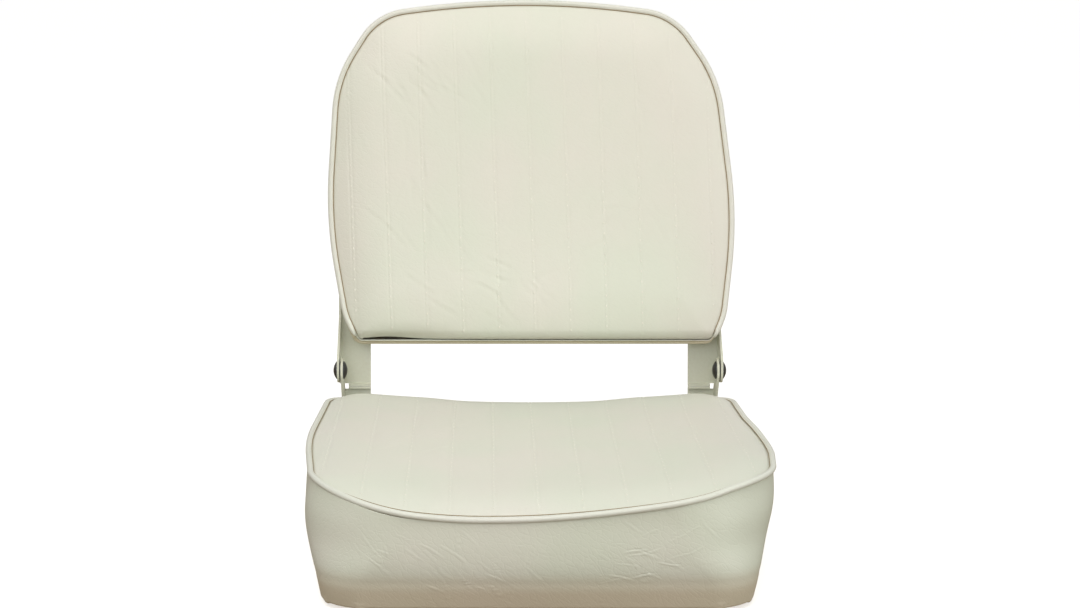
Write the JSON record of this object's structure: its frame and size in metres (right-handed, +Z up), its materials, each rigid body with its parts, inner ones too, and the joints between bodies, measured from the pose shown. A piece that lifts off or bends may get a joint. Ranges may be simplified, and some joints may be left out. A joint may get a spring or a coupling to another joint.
{
  "type": "folding boat seat",
  "caption": "Low-back boat seat with pleated vinyl cushions and welt piping, whose back folds forward onto the seat on pressed steel hinges.",
  "frame": {"origin": "middle of the pedestal bolt pattern, on the underside of the seat board", "axes": "+X across the seat, +Y towards the back, +Z up; a sitter faces -Y"},
  "size_m": [0.4264, 0.4794, 0.5051],
  "materials": {
    "cover_vinyl": "fine grained off-white marine vinyl",
    "piping_vinyl": "smooth off-white vinyl welt",
    "foam": "open cell foam",
    "plywood": "bare plywood",
    "painted_steel": "off-white powder coat",
    "rivet_steel": "dark plain steel",
    "zinc_steel": "bright zinc plate"
  },
  "bodies": {
    "seat": {"left_pivot_rivet": "rivet_steel", "left_pivot_washer": "zinc_steel", "left_seat_bracket": "painted_steel", "pedestal_tee_nuts": "zinc_steel", "right_pivot_rivet": "rivet_steel", "right_pivot_washer": "zinc_steel", "right_seat_bracket": "painted_steel", "seat_board": "plywood", "seat_boxing": "cover_vinyl", "seat_bracket_screws": "zinc_steel", "seat_foam": "foam", "seat_hinge_tee_nuts": "zinc_steel", "seat_piping": "piping_vinyl", "seat_staples": "zinc_steel", "seat_top_panel": "cover_vinyl"},
    "backrest": {"back_board": "plywood", "back_boxing": "cover_vinyl", "back_bracket_screws": "zinc_steel", "back_foam": "foam", "back_front_panel": "cover_vinyl", "back_hinge_tee_nuts": "zinc_steel", "back_lower_piping": "piping_vinyl", "back_piping": "piping_vinyl", "back_rear_panel": "cover_vinyl", "left_back_bracket": "painted_steel", "right_back_bracket": "painted_steel"}
  },
  "joints": [
    {"name": "back_fold", "type": "hinge", "parent": "seat", "child": "backrest", "pos_m": [0, 0.196, 0.125], "axis": [1, 0, 0], "range_deg": [0, 96]}
  ]
}
